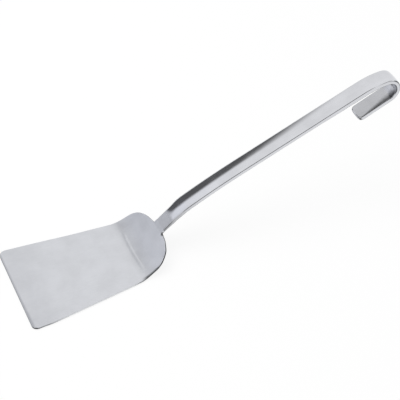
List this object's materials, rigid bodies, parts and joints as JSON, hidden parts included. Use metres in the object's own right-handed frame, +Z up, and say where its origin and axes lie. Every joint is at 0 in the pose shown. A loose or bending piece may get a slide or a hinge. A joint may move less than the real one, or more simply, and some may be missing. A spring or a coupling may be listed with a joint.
{
  "type": "kitchen turner",
  "caption": "Steel kitchen turner: a flat tapered blade with a raised heel, butt-welded to a flat strip handle that ends in a hanging hook.",
  "frame": {"origin": "middle of the blade's flat underside, the face that slides under food", "axes": "+X from the blade's tip toward the hook, +Y across the blade, +Z up from the flat blade"},
  "size_m": [0.3466, 0.089, 0.1094],
  "materials": {
    "satin_steel": "fine satin",
    "polished_steel": "polished, with soft rounded edges",
    "ground_weld": "weld metal ground flush on top, left as laid below"
  },
  "bodies": {
    "root": {"blade": "satin_steel", "handle": "polished_steel", "weld_seam": "ground_weld"}
  },
  "joints": []
}
